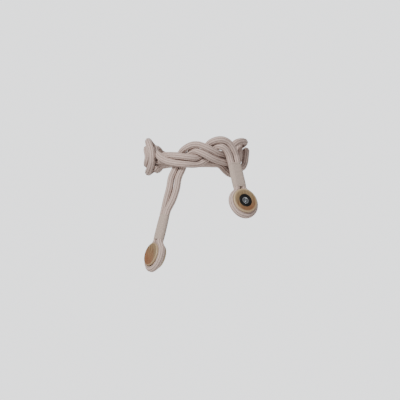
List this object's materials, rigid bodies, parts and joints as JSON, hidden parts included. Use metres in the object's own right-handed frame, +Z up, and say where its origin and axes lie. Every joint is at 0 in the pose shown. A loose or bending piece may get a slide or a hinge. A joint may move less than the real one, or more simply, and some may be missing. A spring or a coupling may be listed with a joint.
{
  "type": "magnetic curtain tieback",
  "caption": "Soft double-cord curtain tieback, knotted, with a knitted sleeve and a round wooden magnetic disc at each end.",
  "frame": {"origin": "middle of the oval passage that the gathered curtain fills, at the height of the front strand", "axes": "+Z up as it is worn, +X to the right of someone facing the knot, -Y towards that person"},
  "size_m": [0.143, 0.121, 0.1687],
  "materials": {
    "cord": "knitted pinkish beige cord, fine lengthwise ribs, matte",
    "sleeve": "finely knitted sleeve, matte",
    "wood": "turned and sanded light wood, thin satin varnish",
    "bezel": "black, half gloss",
    "magnet": "bright nickel plating"
  },
  "bodies": {
    "root": {"cord_leg_1": "cord", "cord_leg_2": "cord", "cord_ring_left": "cord", "cord_ring_right": "cord", "sleeve_left": "sleeve", "sleeve_right": "sleeve", "disc_left": "wood", "disc_right": "wood", "bezel_left": "bezel", "bezel_right": "bezel", "magnet_left": "magnet", "magnet_right": "magnet"}
  },
  "joints": []
}
